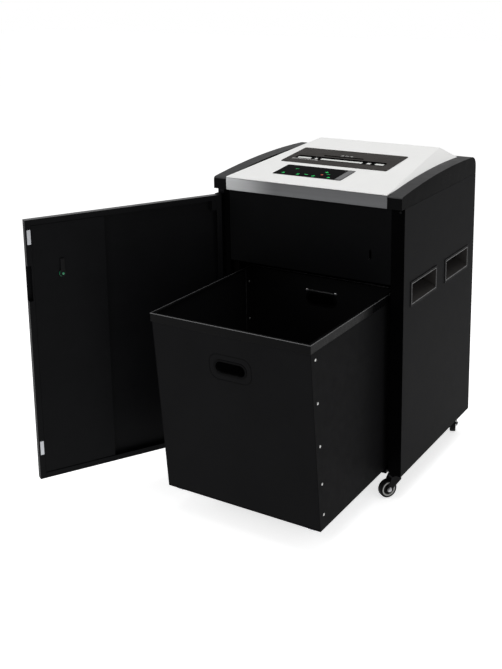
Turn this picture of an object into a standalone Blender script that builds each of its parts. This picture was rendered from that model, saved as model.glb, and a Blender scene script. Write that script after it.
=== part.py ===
"""Office paper shredder with a swing door, a pull-out bin, a geared cutter drive and four casters.

Run with: blender --background --python part.py
Units are metres and +Z is up. Pieces are laid out in a cabinet frame: X runs right from the left
side, Y runs back from the front edge of the side panels, and Z runs up from their bottom edge.
The root empty shifts that frame so that the rest pose, door open and bin drawn out, is centred.
"""

import math

import bmesh
import bpy
from mathutils import Matrix, Vector

# Cabinet
WIDTH = 0.560
DEPTH = 0.500
PANEL_HEIGHT = 0.728
CASTER_HEIGHT = 0.072
SHEET = 0.0015
GAP = 0.0003
POST_WIDTH = 0.036
POST_RETURN = 0.018
REAR_FLANGE = 0.022
SKIRT_BOTTOM = 0.524
CHASSIS_LEVEL = 0.530

# Door, measured in the plane of the closed door
DOOR_OPEN = math.radians(119.5)
DOOR_THICK = 0.018
DOOR_INSET = 0.003
DOOR_BOTTOM = 0.002
DOOR_TOP = 0.710
DOOR_SKIN = 0.0012
DOOR_LIP = 0.015
HINGE_X = 0.008
HINGE_Y = -0.011
PIN_RADIUS = 0.0025
STIFFENER_START = 0.338
LOCK_ALONG = 0.457
LOCK_HEIGHT = 0.558
LOCK_RADIUS = 0.009

# Bin, measured pushed home
BIN_PULL = 0.396
BIN_LEFT = 0.055
BIN_RIGHT = WIDTH - BIN_LEFT
BIN_FRONT = 0.006
BIN_BACK = 0.478
BIN_TOP = 0.4872
BIN_RAKE = 0.048
BIN_SHEET = 0.0012
RIM_DEPTH = 0.022
RIM_LIP = 0.008
BIN_FLANGE = 0.036
HAND_HOLE = (0.088, 0.034)
FRONT_HOLE_DROP = 0.105
BACK_HOLE_DROP = 0.0645

# Telescopic slides under the bin
SLIDE_X = 0.085
SLIDE_LENGTH = 0.440
RAIL_START = 0.022
WELL_DEPTH = 0.010
WELL_EDGE = 0.052

# Head
CAP_WIDTH = 0.040
NOSE = -0.020
CAP_NOSE_HEIGHT = 0.0325
ARCH_TOP = 0.055
ARCH_AT = 0.340
REAR_ROUND = 0.030
STRIP_HEIGHT = 0.033
COVER_START = (-0.0195, 0.0365)
COVER_RIDGE = (0.438, 0.0795)
COVER_REAR = (0.4545, 0.054)
COVER_WALL = 0.0025
RIDGE_INSET = 0.047
PLATE_X = (0.104, 0.432)
PLATE_Y = (0.165, 0.313)
PAPER_SLOT = (0.1285, 0.2045, 0.4045, 0.2325)
DISC_SLOT = (0.2000, 0.2465, 0.3240, 0.2515)
PANEL_X = (0.147, 0.355)
PANEL_Y = (0.048, 0.138)

# Cutter drive
CUTTER_Z = 0.610
SHAFT_SPACING = 0.046
CUTTER_Y = 0.2185
DISC_RADIUS = 0.032
CORE_RADIUS = 0.0125
NECK_RADIUS = 0.009
DISC_WIDTH = 0.008
DISC_PITCH = 0.024
DISCS = 12
FIRST_DISC = 0.128
PLATE_LEFT_X = 0.108
PLATE_RIGHT_X = 0.420
BEARING_PLATE = 0.004
CUTTER_TEETH = 16
DRIVE_MODULE = 0.0025
DRIVE_TEETH = 22
IDLER_TEETH = 30
PINION_TEETH = 17
GEAR_X = 0.091
GEAR_WIDTH = 0.012
MOTOR_RADIUS = 0.050
MOTOR_LENGTH = 0.185

# Side handles, height of their middle and size of their flange
HANDLE_Z = 0.493
HANDLE_FLANGE = (0.178, 0.068)
HANDLE_Y = (0.130, 0.364)
HANDLE_DEPTH = 0.034
FLANGE_PROUD = 0.0018

# Casters
WHEEL_RADIUS = 0.025
WHEEL_WIDTH = 0.018
CASTER_TRAIL = 0.024
CASTERS = {
    "front_left": (0.030, 0.032, 25.0),
    "front_right": (WIDTH - 0.030, 0.032, -34.0),
    "rear_left": (0.030, 0.452, 160.0),
    "rear_right": (WIDTH - 0.030, 0.452, 200.5),
}

# Mains inlet and switch in the back
INLET_X = 0.090
INLET_Z = 0.630

FINISHES = {
    "powder_black": ((0.018, 0.019, 0.021), 0.45, 0.0),
    "bin_black": ((0.012, 0.012, 0.013), 0.50, 0.0),
    "dark_plastic": ((0.055, 0.056, 0.060), 0.40, 0.0),
    "white_plastic": ((0.86, 0.86, 0.85), 0.35, 0.0),
    "brown_plastic": ((0.070, 0.062, 0.056), 0.35, 0.0),
    "gloss_black": ((0.004, 0.004, 0.005), 0.10, 0.0),
    "black_plastic": ((0.015, 0.015, 0.016), 0.45, 0.0),
    "brushed_metal": ((0.52, 0.53, 0.55), 0.35, 1.0),
    "steel": ((0.55, 0.55, 0.56), 0.30, 1.0),
    "zinc": ((0.62, 0.63, 0.64), 0.35, 1.0),
    "cast_grey": ((0.16, 0.17, 0.18), 0.55, 0.3),
    "rubber": ((0.30, 0.31, 0.32), 0.60, 0.0),
    "green_nut": ((0.02, 0.35, 0.14), 0.40, 0.0),
}

# How a drawing in a piece's own XY plane is turned so that its thickness runs along an axis
ALONG = {
    "x": (math.pi / 2, 0, math.pi / 2),
    "y": (math.pi / 2, 0, 0),
    "z": (0, 0, 0),
}


# Scene


def clear_scene():
    for obj in list(bpy.data.objects):
        bpy.data.objects.remove(obj, do_unlink=True)


def new_collection(name):
    collection = bpy.data.collections.new(name)
    bpy.context.scene.collection.children.link(collection)
    return collection


def new_empty(name, location, parent=None, turn=0.0):
    """An empty on a joint's axis, turned about Z."""
    empty = bpy.data.objects.new(name, None)
    empty.empty_display_size = 0.03
    PARTS.objects.link(empty)
    empty.location = location
    empty.rotation_euler = (0, 0, turn)
    empty.parent = parent
    return empty


def new_material(name, finish):
    colour, roughness, metallic = FINISHES[finish]
    material = bpy.data.materials.new(name + "_finish")
    material.use_nodes = True
    shader = material.node_tree.nodes["Principled BSDF"]
    shader.inputs["Base Color"].default_value = (*colour, 1.0)
    shader.inputs["Roughness"].default_value = roughness
    shader.inputs["Metallic"].default_value = metallic
    return material


def new_object(name, mesh, finish, parent, location, rotation=(0, 0, 0)):
    """A visible sub-part, or a hidden tool where finish is None."""
    obj = bpy.data.objects.new(name, mesh)
    if finish is None:
        TOOLS.objects.link(obj)
        obj.hide_render = True
        obj.display_type = "WIRE"
    else:
        PARTS.objects.link(obj)
        mesh.materials.append(new_material(name, finish))
    obj.parent = parent
    obj.location = location
    obj.rotation_euler = rotation
    return obj


# Shapes


def mesh_from(bm, name):
    bmesh.ops.recalc_face_normals(bm, faces=bm.faces)
    mesh = bpy.data.meshes.new(name)
    bm.to_mesh(mesh)
    bm.free()
    return mesh


def block(name, low, high, finish=None, parent=None, turn=(0, 0, 0)):
    """A box from its lowest to its highest corner, turned about its own centre."""
    low, high = Vector(low), Vector(high)
    bm = bmesh.new()
    bmesh.ops.create_cube(bm, size=1.0)
    bmesh.ops.scale(bm, vec=high - low, verts=bm.verts)
    return new_object(name, mesh_from(bm, name), finish, parent or ROOT, (low + high) / 2, turn)


def blocks(name, size, centres, finish=None, parent=None):
    """One mesh of equal boxes, for cutting a row of openings."""
    bm = bmesh.new()
    for centre in centres:
        made = bmesh.ops.create_cube(bm, size=1.0)
        bmesh.ops.scale(bm, vec=Vector(size), verts=made["verts"])
        bmesh.ops.translate(bm, vec=Vector(centre), verts=made["verts"])
    return new_object(name, mesh_from(bm, name), finish, parent or ROOT, (0, 0, 0))


def funnel(name, near, far, finish=None, parent=None):
    """A box along X whose two ends differ. Each end is (x, its low y and z, its high y and z)."""
    bm = bmesh.new()
    bmesh.ops.create_cube(bm, size=2.0)
    for vert in bm.verts:
        position, low, high = near if vert.co.x < 0 else far
        first = low[0] if vert.co.y < 0 else high[0]
        second = low[1] if vert.co.z < 0 else high[1]
        vert.co = (position, first, second)
    return new_object(name, mesh_from(bm, name), finish, parent or ROOT, (0, 0, 0))


def cylinder(name, centre, radius, length, axis="z", finish=None, parent=None, sides=16):
    bm = bmesh.new()
    bmesh.ops.create_cone(
        bm,
        cap_ends=True,
        segments=sides,
        radius1=radius,
        radius2=radius,
        depth=length,
    )
    mesh = mesh_from(bm, name)
    return new_object(name, mesh, finish, parent or ROOT, centre, ALONG[axis])


def arc(centre, radius, start, end, steps):
    """Points on a circle from one angle to another, in degrees."""
    angles = [math.radians(start + (end - start) * i / steps) for i in range(steps + 1)]
    return [(centre[0] + radius * math.cos(a), centre[1] + radius * math.sin(a)) for a in angles]


def rounded(x0, y0, x1, y1, radius, steps=4):
    """A rectangle with round corners; with a radius of half its height it is a stadium."""
    corners = [
        ((x1 - radius, y1 - radius), 0),
        ((x0 + radius, y1 - radius), 90),
        ((x0 + radius, y0 + radius), 180),
        ((x1 - radius, y0 + radius), 270),
    ]
    points = []
    for centre, start in corners:
        points += arc(centre, radius, start, start + 90, steps)
    return points


def circle(radius, sides=16):
    return arc((0, 0), radius, 0, 360 * (sides - 1) / sides, sides - 1)


def flat_solid(name, rings, thickness, centre, axis="z", finish=None, parent=None):
    """A flat outline with holes, given thickness along an axis. The first ring is the outside."""
    curve = bpy.data.curves.new(name, "CURVE")
    curve.dimensions = "2D"
    curve.fill_mode = "BOTH"
    curve.extrude = thickness / 2
    for ring in rings:
        spline = curve.splines.new("POLY")
        spline.points.add(len(ring) - 1)
        for point, (x, y) in zip(spline.points, ring):
            point.co = (x, y, 0, 1)
        spline.use_cyclic_u = True
    drawn = bpy.data.objects.new(name + "_outline", curve)
    TOOLS.objects.link(drawn)
    graph = bpy.context.evaluated_depsgraph_get()
    filled = bpy.data.meshes.new_from_object(drawn.evaluated_get(graph))
    bpy.data.objects.remove(drawn)
    bm = bmesh.new()
    bm.from_mesh(filled)
    bmesh.ops.remove_doubles(bm, verts=bm.verts, dist=1e-6)
    return new_object(name, mesh_from(bm, name), finish, parent or ROOT, centre, ALONG[axis])


def folded_sheet(name, path, span, axis, finish, parent=None, thickness=SHEET):
    """Sheet metal bent along the middle line drawn by path and running the length of span."""
    bm = bmesh.new()
    verts = [bm.verts.new((x, y, (span[0] - span[1]) / 2)) for x, y in path]
    edges = [bm.edges.new(pair) for pair in zip(verts, verts[1:])]
    drawn = bmesh.ops.extrude_edge_only(bm, edges=edges)["geom"]
    moved = [item for item in drawn if isinstance(item, bmesh.types.BMVert)]
    bmesh.ops.translate(bm, vec=(0, 0, span[1] - span[0]), verts=moved)
    centre = [0, 0, 0]
    centre["xyz".index(axis)] = (span[0] + span[1]) / 2
    obj = new_object(name, mesh_from(bm, name), finish, parent or ROOT, centre, ALONG[axis])
    solidify = obj.modifiers.new("thickness", "SOLIDIFY")
    solidify.thickness = thickness
    solidify.offset = 0
    solidify.use_even_offset = True
    return obj


def turned(name, profile, centre, axis, finish, parent=None, steps=16, closed=False):
    """A lathe shape. The profile's (radius, height) points run down its outer side."""
    mesh = bpy.data.meshes.new(name)
    edges = [(i, i + 1) for i in range(len(profile) - 1)]
    if closed:
        edges.append((len(profile) - 1, 0))
    mesh.from_pydata([(radius, 0, height) for radius, height in profile], edges, [])
    obj = new_object(name, mesh, finish, parent or ROOT, centre, ALONG[axis])
    screw = obj.modifiers.new("lathe", "SCREW")
    screw.steps = steps
    screw.render_steps = steps
    screw.use_merge_vertices = True
    screw.merge_threshold = 0.00005
    screw.use_normal_calculate = False
    return obj


def boolean(obj, tool, operation):
    modifier = obj.modifiers.new(tool.name, "BOOLEAN")
    modifier.operation = operation
    modifier.object = tool
    return obj


def cut(obj, *tools):
    for tool in tools:
        boolean(obj, tool, "DIFFERENCE")
    return obj


def join(obj, *tools):
    for tool in tools:
        boolean(obj, tool, "UNION")
    return obj


def across(x, side):
    """The same distance in from the left or from the right side of the cabinet."""
    return x if side == "left" else WIDTH - x


def side_box(name, x0, x1, yz_low, yz_high, side, finish=None, parent=None):
    """A box between two distances in from one side of the cabinet."""
    ends = sorted((across(x0, side), across(x1, side)))
    low = (ends[0], *yz_low)
    high = (ends[1], *yz_high)
    return block(name, low, high, finish, parent)


# Cabinet


def side_panel(side):
    """Skin, front post and rear flange, bent from one sheet, with holes for its handles."""
    half = SHEET / 2
    path = [
        (POST_WIDTH - half, POST_RETURN),
        (POST_WIDTH - half, half),
        (half, half),
        (half, DEPTH - half),
        (REAR_FLANGE, DEPTH - half),
    ]
    path = [(across(x, side), y) for x, y in path]
    panel = folded_sheet("side_panel_" + side, path, (0, PANEL_HEIGHT), "z", "powder_black")
    half_y = HANDLE_FLANGE[0] / 2 - 0.0065
    half_z = HANDLE_FLANGE[1] / 2 - 0.005
    for number, y in enumerate(HANDLE_Y):
        hole = side_box(
            f"handle_hole_{side}_{number}",
            -0.010,
            0.010,
            (y - half_y, HANDLE_Z - half_z),
            (y + half_y, HANDLE_Z + half_z),
            side,
        )
        cut(panel, hole)
    return panel


def handle_cup(side, y, place):
    """A recessed grip: outer flange, box behind it and a hollow with a floor that slopes up."""
    name = f"handle_cup_{side}_{place}"
    half_y, half_z = HANDLE_FLANGE[0] / 2, HANDLE_FLANGE[1] / 2
    cup = side_box(
        name,
        -FLANGE_PROUD,
        -GAP,
        (y - half_y, HANDLE_Z - half_z),
        (y + half_y, HANDLE_Z + half_z),
        side,
        "black_plastic",
    )
    box_y, box_z = half_y - 0.007, half_z - 0.0055
    body = side_box(
        name + "_body",
        -FLANGE_PROUD / 2,
        HANDLE_DEPTH,
        (y - box_y, HANDLE_Z - box_z),
        (y + box_y, HANDLE_Z + box_z),
        side,
    )
    wall = 0.0025
    grip_y, grip_z = box_y - wall, box_z - wall
    mouth = (y - grip_y, HANDLE_Z - grip_z), (y + grip_y, HANDLE_Z + grip_z)
    end = (y - grip_y + 0.006, HANDLE_Z - 0.004), (y + grip_y - 0.006, HANDLE_Z + grip_z)
    hollow = funnel(
        name + "_hollow",
        (across(-0.004, side), *mouth),
        (across(HANDLE_DEPTH - wall, side), *end),
    )
    join(cup, body)
    cut(cup, hollow)


def back_panel():
    """The rear sheet, with louvre slots behind the motor and openings for inlet and switch."""
    margin = 0.004
    panel = block(
        "back_panel",
        (margin, DEPTH + GAP, margin),
        (WIDTH - margin, DEPTH + GAP + SHEET, PANEL_HEIGHT - margin),
        "powder_black",
    )
    centres = [
        (WIDTH / 2 + column * 0.085, DEPTH, 0.590 + row * 0.014)
        for column in (-1, 0, 1)
        for row in range(7)
    ]
    louvres = blocks("louvre_slots", (0.070, 0.020, 0.005), centres)
    socket = block(
        "socket_window",
        (INLET_X - 0.0125, DEPTH - 0.005, INLET_Z - 0.0085),
        (INLET_X + 0.0125, DEPTH + 0.010, INLET_Z + 0.0085),
    )
    switch_x = INLET_X + 0.034
    switch = block(
        "switch_window",
        (switch_x - 0.010, DEPTH - 0.005, INLET_Z - 0.014),
        (switch_x + 0.010, DEPTH + 0.010, INLET_Z + 0.014),
    )
    cut(panel, louvres, socket, switch)


def power_inlet():
    """Socket and switch housing fixed behind the back panel, with three socket blades."""
    switch_x = INLET_X + 0.034
    face = DEPTH
    body = block(
        "power_inlet",
        (INLET_X - 0.020, face - 0.030, INLET_Z - 0.018),
        (switch_x + 0.014, face, INLET_Z + 0.018),
        "black_plastic",
    )
    socket = block(
        "socket_hollow",
        (INLET_X - 0.012, face - 0.016, INLET_Z - 0.008),
        (INLET_X + 0.012, face + 0.010, INLET_Z + 0.008),
    )
    well = block(
        "switch_hollow",
        (switch_x - 0.0095, face - 0.016, INLET_Z - 0.0135),
        (switch_x + 0.0095, face + 0.010, INLET_Z + 0.0135),
    )
    cut(body, socket, well)
    for number, (dx, dz) in enumerate([(-0.007, -0.002), (0.0, 0.003), (0.007, -0.002)]):
        blade = block(
            f"socket_blade_{number}",
            (INLET_X + dx - 0.001, face - 0.020, INLET_Z + dz - 0.002),
            (INLET_X + dx + 0.001, face - 0.010, INLET_Z + dz + 0.002),
        )
        join(body, blade)
    pivot = new_empty("rocker_pivot", (switch_x, face - 0.0045, INLET_Z), ROOT)
    outline = [(-0.006, -0.009), (0.0012, -0.0105), (0.003, 0.0), (0.0012, 0.0105), (-0.006, 0.009)]
    tilt = Matrix.Rotation(math.radians(-9), 2)
    ring = [tuple(tilt @ Vector(point)) for point in outline]
    flat_solid("rocker_switch", [ring], 0.017, (0, 0, 0), "x", "black_plastic", pivot)


def base_pan():
    """Floor of the cabinet: side shelves that carry the casters and a sunk well for the slides."""
    half = SHEET / 2
    shelf = GAP + half
    edge = SHEET + GAP
    path = [
        (edge, shelf),
        (WELL_EDGE, shelf),
        (WELL_EDGE, -WELL_DEPTH - half),
        (WIDTH - WELL_EDGE, -WELL_DEPTH - half),
        (WIDTH - WELL_EDGE, shelf),
        (WIDTH - edge, shelf),
    ]
    span = (POST_RETURN + 0.0015, DEPTH - SHEET - 2 * GAP)
    pan = folded_sheet("base_pan", path, span, "y", "powder_black")
    for place, (x, y, _) in CASTERS.items():
        cut(pan, cylinder("stem_hole_" + place, (x, y, 0), 0.0045, 0.02, "z", sides=12))


def front_skirt():
    """Fixed front cover of the cutter bay, with returns top and bottom and a catch slot."""
    half = SHEET / 2
    inner = POST_WIDTH + 2 * GAP
    path = [
        (0.018, SKIRT_BOTTOM + half),
        (0.001 + half, SKIRT_BOTTOM + half),
        (0.001 + half, PANEL_HEIGHT - GAP - half),
        (0.018, PANEL_HEIGHT - GAP - half),
    ]
    skirt = folded_sheet("front_skirt", path, (inner, WIDTH - inner), "x", "powder_black")
    slot_x = HINGE_X + LOCK_ALONG
    slot_z = PANEL_HEIGHT - 0.131
    low = (slot_x - 0.003, -0.01, slot_z - 0.012)
    high = (slot_x + 0.003, 0.01, slot_z + 0.012)
    slot = block("catch_slot", low, high)
    cut(skirt, slot)


def chassis_plate():
    """Deck that carries the cutters and motor, open below the cutters."""
    inset = POST_WIDTH + 0.0015
    plate = block(
        "chassis_plate",
        (inset, 0.004, CHASSIS_LEVEL),
        (WIDTH - inset, DEPTH - 0.003, CHASSIS_LEVEL + 0.002),
        "steel",
    )
    chute = block(
        "discharge_hole",
        (FIRST_DISC - 0.010, CUTTER_Y - 0.045, CHASSIS_LEVEL - 0.01),
        (WIDTH - FIRST_DISC - 0.014, CUTTER_Y + 0.045, CHASSIS_LEVEL + 0.01),
    )
    cut(plate, chute)


def hinge_brackets():
    """Pivot brackets above and below the door, each with the pin that the door turns on."""
    left, right = 0.0015, 0.020
    seat = DOOR_TOP + 0.0012
    upper = block(
        "hinge_bracket_upper",
        (left, -0.0018, seat),
        (right, -GAP, PANEL_HEIGHT - 0.0015),
        "powder_black",
    )
    ear = block("upper_ear", (left, -0.019, seat), (right, -0.0009, seat + 0.002))
    middle = (HINGE_X, HINGE_Y, seat - 0.0165)
    pin = cylinder("upper_pin", middle, PIN_RADIUS, 0.036, "z", sides=12)
    join(upper, ear, pin)
    low, high = (left, -0.019, -0.0028), (right, 0.0095, -GAP)
    lower = block("hinge_bracket_lower", low, high, "powder_black")
    pin = cylinder("lower_pin", (HINGE_X, HINGE_Y, 0.016), PIN_RADIUS, 0.036, "z", sides=12)
    join(lower, pin)


def magnet_catches(panel):
    """Magnets let into the right-hand post, where the door's strikes meet them."""
    for place, z in STRIKES.items():
        low = (WIDTH - 0.019, 0.0, z - 0.020)
        high = (WIDTH - 0.008, 0.010, z + 0.020)
        block("magnet_catch_" + place, low, high, "black_plastic")
        spread = Vector((GAP, 0.005, GAP))
        cut(panel, block("catch_window_" + place, Vector(low) - spread, Vector(high) + spread))


def slides(side):
    """Under-bin telescopic slide: fixed channel, middle channel and the runner on the bin."""
    x = across(SLIDE_X, side)
    levels = (-0.0015, -WELL_DEPTH + GAP)
    rail = channel_path(x, 0.0145, levels[0], levels[1] + 0.0005)
    rail_span = (RAIL_START, RAIL_START + SLIDE_LENGTH + 0.012)
    folded_sheet("slide_rail_" + side, rail, rail_span, "y", "zinc", thickness=0.001)
    middle = channel_path(x, 0.0118, levels[0], levels[1] + 0.0018)
    start = RAIL_START + 0.004
    span = (start, start + SLIDE_LENGTH)
    folded_sheet("slide_middle_" + side, middle, span, "y", "zinc", MIDDLES, thickness=0.001)
    low = (x - 0.0095, BIN_FRONT + BIN_RAKE + 0.008, levels[1] + 0.0026)
    high = (x + 0.0095, start + SLIDE_LENGTH, -GAP)
    block("bin_runner_" + side, low, high, "zinc", BIN)


def channel_path(x, half_width, top, floor):
    return [
        (x - half_width, top),
        (x - half_width, floor),
        (x + half_width, floor),
        (x + half_width, top),
    ]


# Head


def arch(y):
    """Height of the end caps' top edge above the panels."""
    fall = (ARCH_TOP - CAP_NOSE_HEIGHT) / (ARCH_AT - NOSE) ** 2
    return ARCH_TOP - fall * (y - ARCH_AT) ** 2


def cap_outline(inset):
    """Side view of an end cap, from its front foot over the arch to its rear foot."""
    radius = 0.008 - inset
    centre = (NOSE + 0.008, arch(NOSE + 0.008) - 0.008)
    foot = GAP if inset == 0 else -0.02
    points = [(NOSE + inset, foot)]
    points += arc(centre, radius, 180, 100, 3)
    rear_start = DEPTH - REAR_ROUND
    steps = 9
    first = NOSE + 0.03
    for i in range(steps + 1):
        y = first + (rear_start - first) * i / steps
        points.append((y, arch(y) - inset))
    rear = (rear_start, arch(rear_start) - REAR_ROUND)
    points += arc(rear, REAR_ROUND - inset, 80, 0, 5)
    points.append((DEPTH - inset, foot))
    return points


def end_cap(side):
    """Moulded end of the head, hollow from below and from the inner side."""
    width = CAP_WIDTH - GAP
    wall = 0.0025
    centre = (across(width / 2, side), 0, PANEL_HEIGHT)
    cap = flat_solid("end_cap_" + side, [cap_outline(0)], width, centre, "x", "dark_plastic")
    centre = (across(wall + width / 2, side), 0, PANEL_HEIGHT)
    hollow = flat_solid("cap_hollow_" + side, [cap_outline(wall)], width, centre, "x")
    cut(cap, hollow)


def rear_bar():
    """Moulded bar behind the cover, joining the end caps' outline."""
    half = 0.00125
    front = COVER_REAR[0] + 2 * GAP + half
    rear_start = DEPTH - REAR_ROUND
    rear = (rear_start, arch(rear_start) - REAR_ROUND)
    path = [(front, 0.004), (front, arch(front) - half)]
    path += arc(rear, REAR_ROUND - half, 88, 0, 6)
    path.append((DEPTH - half, GAP))
    path = [(y, PANEL_HEIGHT + z) for y, z in path]
    inner = CAP_WIDTH + GAP
    folded_sheet("rear_bar", path, (inner, WIDTH - inner), "x", "dark_plastic", thickness=2 * half)


def cover_side_cutter(side, inset):
    """A slab that slopes the cover's side down from the ridge line to the end cap."""
    edge = CAP_WIDTH + GAP + inset
    drop = 1.3 * inset
    start = Vector((across(edge, side), COVER_START[0], PANEL_HEIGHT + COVER_START[1] - drop))
    ridge_x = across(edge + RIDGE_INSET, side)
    ridge = Vector((ridge_x, COVER_RIDGE[0], PANEL_HEIGHT + COVER_RIDGE[1] - drop))
    foot = Vector((across(edge, side), COVER_REAR[0], PANEL_HEIGHT + arch(COVER_REAR[0]) - drop))
    along = (ridge - start).normalized()
    normal = along.cross(foot - start).normalized()
    if normal.z < 0:
        normal.negate()
    frame = Matrix((along, normal.cross(along), normal)).transposed()
    size = 0.9
    height = 0.2
    slab = block("cover_side_%s_%d" % (side, inset > 0), (0, 0, 0), (size, size, height))
    slab.location = (start + ridge) / 2 + normal * height / 2
    slab.rotation_euler = frame.to_euler()
    return slab


def top_cover():
    """White moulded lid: a sloping deck, side bevels that widen to the rear, and its back wall."""
    inner = CAP_WIDTH + GAP
    ledge = 0.0125
    outline = [
        (COVER_START[0], STRIP_HEIGHT + 0.0008),
        (ledge, STRIP_HEIGHT + 0.0008),
        (ledge, 2 * GAP),
        (COVER_REAR[0], 2 * GAP),
        COVER_REAR,
        COVER_RIDGE,
        COVER_START,
    ]
    width = WIDTH - 2 * inner
    centre = (WIDTH / 2, 0, PANEL_HEIGHT)
    cover = flat_solid("top_cover", [outline], width, centre, "x", "white_plastic")
    cut(cover, cover_side_cutter("left", 0.0), cover_side_cutter("right", 0.0))
    slope = (COVER_RIDGE[1] - COVER_START[1]) / (COVER_RIDGE[0] - COVER_START[0])
    front = ledge + COVER_WALL
    front_top = COVER_START[1] + slope * (front - COVER_START[0]) - COVER_WALL
    hollow_outline = [
        (front, -0.02),
        (COVER_REAR[0] - COVER_WALL, -0.02),
        (COVER_REAR[0] - COVER_WALL, COVER_REAR[1] - 0.001),
        (COVER_RIDGE[0] - 0.0015, COVER_RIDGE[1] - COVER_WALL - 0.0005),
        (front, front_top),
    ]
    hollow = flat_solid("cover_hollow", [hollow_outline], width - 2 * COVER_WALL, centre, "x")
    cut(hollow, cover_side_cutter("left", COVER_WALL), cover_side_cutter("right", COVER_WALL))
    cut(cover, hollow)
    spread = 0.0006
    for name, (x0, y0, x1, y1) in (("paper", PAPER_SLOT), ("disc", DISC_SLOT)):
        radius = min(0.006, (y1 - y0) / 2)
        ring = deck_ring(x0 - spread, y0 - spread, x1 + spread, y1 + spread, radius)
        cut(cover, flat_solid(f"{name}_slot_cutter", [ring], 0.03, (0, 0, 0), parent=DECK))


def deck_ring(x0, y0, x1, y1, radius, steps=4):
    """A rounded rectangle on the sloping deck, from its place in the cabinet frame."""
    stretch = 1 / math.cos(DECK_SLOPE)
    return rounded(
        x0,
        (y0 - COVER_START[0]) * stretch,
        x1,
        (y1 - COVER_START[0]) * stretch,
        radius,
        steps,
    )


def front_strip():
    """Brushed channel across the nose of the head."""
    half = SHEET / 2
    path = [
        (0.012, STRIP_HEIGHT - half),
        (NOSE + half, STRIP_HEIGHT - half),
        (NOSE + half, GAP + half),
        (0.012, GAP + half),
    ]
    path = [(y, PANEL_HEIGHT + z) for y, z in path]
    inner = CAP_WIDTH + GAP
    folded_sheet("front_strip", path, (inner, WIDTH - inner), "x", "brushed_metal")


def entry_plate():
    """Dark plate on the deck, round the paper slot and the disc slot."""
    thickness = 0.0012
    rings = [deck_ring(PLATE_X[0], PLATE_Y[0], PLATE_X[1], PLATE_Y[1], 0.006)]
    for x0, y0, x1, y1 in (PAPER_SLOT, DISC_SLOT):
        rings.append(deck_ring(x0, y0, x1, y1, min(0.006, (y1 - y0) / 2.01)))
    middle = (0, 0, GAP + thickness / 2)
    flat_solid("entry_plate", rings, thickness, middle, "z", "brown_plastic", DECK)


def control_panel():
    """Touch panel laid on the deck in front of the entry plate."""
    thickness = 0.0010
    ring = deck_ring(PANEL_X[0], PANEL_Y[0], PANEL_X[1], PANEL_Y[1], 0.002, 2)
    middle = (0, 0, GAP + thickness / 2)
    flat_solid("control_panel", [ring], thickness, middle, "z", "gloss_black", DECK)


def throat_guide():
    """Chutes that lead paper and discs from the deck down to the cutters."""
    top = PANEL_HEIGHT + 0.050
    bottom = CUTTER_Z + 0.045
    x0, y0, x1, y1 = PAPER_SLOT
    disc_x0, disc_y0, disc_x1, disc_y1 = DISC_SLOT
    wall = 0.004
    guide = block(
        "throat_guide",
        (x0 - wall, y0 - wall, bottom),
        (x1 + wall, disc_y1 + wall, top),
        "black_plastic",
    )
    mouth = (top + 0.001, y0, y1)
    throat = (bottom - 0.001, CUTTER_Y - 0.005, CUTTER_Y + 0.005)
    paper = chute("paper_chute", x0, x1, mouth, throat)
    disc = block("disc_chute", (disc_x0, disc_y0, bottom - 0.01), (disc_x1, disc_y1, top + 0.01))
    cut(guide, paper, disc)


def chute(name, x0, x1, mouth, throat):
    """A slot-shaped tool that narrows downwards. Each end is (height, low y, high y)."""
    bm = bmesh.new()
    bmesh.ops.create_cube(bm, size=2.0)
    for vert in bm.verts:
        height, low_y, high_y = mouth if vert.co.z > 0 else throat
        x = x0 if vert.co.x < 0 else x1
        y = low_y if vert.co.y < 0 else high_y
        vert.co = (x, y, height)
    return new_object(name, mesh_from(bm, name), None, ROOT, (0, 0, 0))


# Cutter drive


def gear_outline(teeth, module, phase, slack=0.00040):
    """Involute teeth, 20 degrees, shortened tips, with slack shared by both flanks."""
    pitch = teeth * module / 2
    base = pitch * math.cos(math.radians(20))
    tip = pitch + 0.80 * module
    root = pitch - 1.05 * module
    half = math.pi / (2 * teeth) - slack / (2 * pitch)

    def involute(radius):
        angle = math.acos(min(1.0, base / radius))
        return math.tan(angle) - angle

    def half_angle(radius):
        return half + involute(pitch) - involute(radius)

    radii = [root, max(base, root + 0.0002), pitch, tip]
    rising = [(radius, -half_angle(radius)) for radius in radii]
    falling = [(radius, -angle) for radius, angle in reversed(rising)]
    points = []
    for tooth in range(teeth):
        middle = phase + 2 * math.pi * tooth / teeth
        for radius, angle in rising + falling:
            points.append(
                (radius * math.cos(middle + angle), radius * math.sin(middle + angle))
            )
    return points


def gear(name, teeth, module, phase, centre, bore):
    rings = [gear_outline(teeth, module, phase), circle(bore)]
    flat_solid(name, rings, GEAR_WIDTH, centre, "x", "steel")


def cutter_shaft(name, y, first_disc, left_end, right_end):
    """One lathe-turned shaft with its row of cutting discs, lying along X."""
    half = DISC_WIDTH / 2
    shoulder_left = PLATE_LEFT_X + BEARING_PLATE + 0.002
    shoulder_right = PLATE_RIGHT_X - 0.002
    profile = [(0, right_end), (NECK_RADIUS, right_end), (NECK_RADIUS, shoulder_right)]
    profile.append((CORE_RADIUS, shoulder_right))
    for i in reversed(range(DISCS)):
        x = first_disc + i * DISC_PITCH
        profile += [
            (CORE_RADIUS, x + half),
            (DISC_RADIUS, x + half),
            (DISC_RADIUS, x - half),
            (CORE_RADIUS, x - half),
        ]
    profile += [(CORE_RADIUS, shoulder_left), (NECK_RADIUS, shoulder_left)]
    profile += [(NECK_RADIUS, left_end), (0, left_end)]
    return turned(name, profile, (0, y, CUTTER_Z), "x", "steel")


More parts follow.
